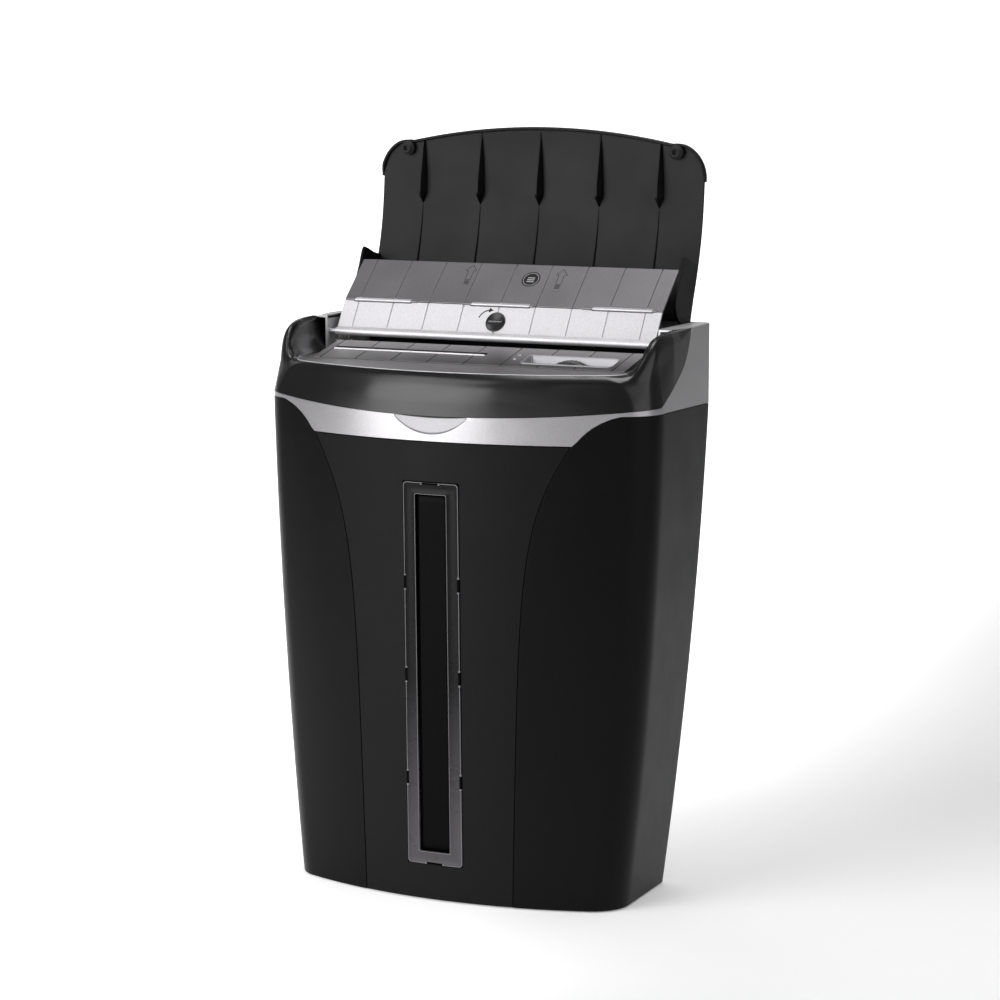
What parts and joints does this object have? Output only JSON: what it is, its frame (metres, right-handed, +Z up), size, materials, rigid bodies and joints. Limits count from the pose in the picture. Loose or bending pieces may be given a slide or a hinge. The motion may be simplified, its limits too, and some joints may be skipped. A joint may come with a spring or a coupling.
{
  "type": "paper shredder",
  "caption": "Auto-feed paper shredder: tapered waste bin with window strip, lift-off cutting head, folding feed plates, lock knob and tall hinged paper-rest lid.",
  "frame": {"origin": "middle of the base, on the floor", "axes": "+X to the user's right, +Y to the back, +Z up"},
  "size_m": [0.368, 0.2217, 0.657],
  "materials": {
    "bin_black": "satin moulded black",
    "textured_black": "fine spark texture",
    "rubber": "matte",
    "clear_frame": "smoked translucent",
    "smoked_pane": "dark smoked gloss",
    "band_silver": "metallic silver paint",
    "fascia_black": "satin gloss black",
    "deck_grey": "metallic grey paint",
    "inlay_gloss": "gloss grey",
    "well_silver": "silver paint",
    "knob_black": "satin",
    "led_lens": "clear lens",
    "inner_black": "plain moulded",
    "steel": "machined",
    "motor_can": "plated can",
    "bronze": "sintered",
    "gear_white": "natural nylon",
    "board_green": "solder mask",
    "plate_silver": "bright silver paint",
    "plate_grey": "grey metallic paint",
    "lid_black": "satin moulded black"
  },
  "bodies": {
    "bin": {"bin_shell": "bin_black", "front_panel": "textured_black", "bin_feet": "rubber", "window_frame": "clear_frame", "window_pane": "smoked_pane", "interlock_striker": "inner_black"},
    "head": {"head_housing": "band_silver", "front_fascia": "fascia_black", "control_deck": "deck_grey", "slot_inlay": "inlay_gloss", "switch_well": "well_silver", "status_leds": "led_lens", "cheek_liner_left": "band_silver", "cheek_liner_right": "band_silver", "head_base": "inner_black", "base_screws": "steel", "comb_front": "gear_white", "comb_rear": "gear_white", "reduction_axle": "steel", "motor_body": "motor_can", "motor_clamp": "steel", "frame_left": "steel", "frame_right": "steel", "shaft_bushes": "bronze", "tie_rods": "steel", "throat_guides": "inner_black", "feed_tray": "inner_black", "circuit_board": "board_green", "interlock_switch": "inner_black", "cord_gland": "inner_black", "plate_rod": "steel"},
    "rear_cutter": {"cutter_rear": "steel", "gear_rear": "steel", "feed_drive_gear": "gear_white"},
    "front_cutter": {"cutter_front": "steel", "gear_front": "steel"},
    "reduction": {"reduction_gear": "gear_white"},
    "motor_rotor": {"motor_shaft": "steel", "motor_pinion": "steel"},
    "feed_roller": {"feed_shaft": "steel", "feed_rollers": "rubber", "feed_roller_gear": "gear_white"},
    "slider": {"mode_slider": "knob_black"},
    "plunger": {"interlock_plunger": "inner_black"},
    "lower_feed_plate": {"lower_plate": "plate_silver", "plate_hinge_pins": "steel"},
    "upper_feed_plate": {"upper_plate": "plate_grey"},
    "lock": {"lock_knob": "knob_black", "lock_cam": "knob_black"},
    "lid": {"lid_panel": "lid_black", "lid_pivot_pins": "lid_black", "lid_bumpers": "rubber"}
  },
  "joints": [
    {"name": "head_lift", "type": "slide", "parent": "bin", "child": "head", "axis": [0, 0, 1], "range_m": [0, 0.13]},
    {"name": "rear_cutter_spin", "type": "hinge", "parent": "head", "child": "rear_cutter", "pos_m": [0, 0.0285, 0.425], "axis": [1, 0, 0], "continuous": true},
    {"name": "front_cutter_spin", "type": "hinge", "parent": "head", "child": "front_cutter", "pos_m": [0, -0.0095, 0.425], "axis": [1, 0, 0], "continuous": true},
    {"name": "reduction_spin", "type": "hinge", "parent": "head", "child": "reduction", "pos_m": [0, 0.05478, 0.43726], "axis": [1, 0, 0], "continuous": true},
    {"name": "motor_spin", "type": "hinge", "parent": "head", "child": "motor_rotor", "pos_m": [0, 0.07203, 0.40738], "axis": [1, 0, 0], "continuous": true},
    {"name": "feed_roller_spin", "type": "hinge", "parent": "head", "child": "feed_roller", "pos_m": [0, 0.062, 0.45], "axis": [1, 0, 0], "continuous": true},
    {"name": "mode_slide", "type": "slide", "parent": "head", "child": "slider", "axis": [1, 0, 0], "range_m": [-0.014, 0.014]},
    {"name": "plunger_travel", "type": "slide", "parent": "head", "child": "plunger", "axis": [0, 0, 1], "range_m": [-0.004, 0]},
    {"name": "lid_hinge", "type": "hinge", "parent": "head", "child": "lid", "pos_m": [0, 0.106, 0.486], "axis": [1, 0, 0], "range_deg": [0, 104]},
    {"name": "lower_plate_fold", "type": "hinge", "parent": "head", "child": "lower_feed_plate", "pos_m": [0, 0.0388, 0.4769], "axis": [1, 0, 0], "range_deg": [-46.6, 0]},
    {"name": "upper_plate_fold", "type": "hinge", "parent": "lower_feed_plate", "child": "upper_feed_plate", "pos_m": [0, 0.05542, 0.50413], "axis": [1, 0, 0], "range_deg": [0, 184.6]},
    {"name": "lock_turn", "type": "hinge", "parent": "lower_feed_plate", "child": "lock", "pos_m": [0, 0.04688, 0.49013], "axis": [0, -0.8536, 0.521], "range_deg": [0, 90]}
  ],
  "couplings": [
    {"joint": "front_cutter_spin", "follows": "rear_cutter_spin", "ratio": -1},
    {"joint": "reduction_spin", "follows": "rear_cutter_spin", "ratio": -1.9},
    {"joint": "motor_spin", "follows": "rear_cutter_spin", "ratio": 6.84},
    {"joint": "feed_roller_spin", "follows": "rear_cutter_spin", "ratio": -1},
    {"joint": "plunger_travel", "follows": "head_lift", "ratio": -0.030769},
    {"joint": "lower_plate_fold", "follows": "lid_hinge", "ratio": -0.44808},
    {"joint": "upper_plate_fold", "follows": "lid_hinge", "ratio": 1.775}
  ]
}
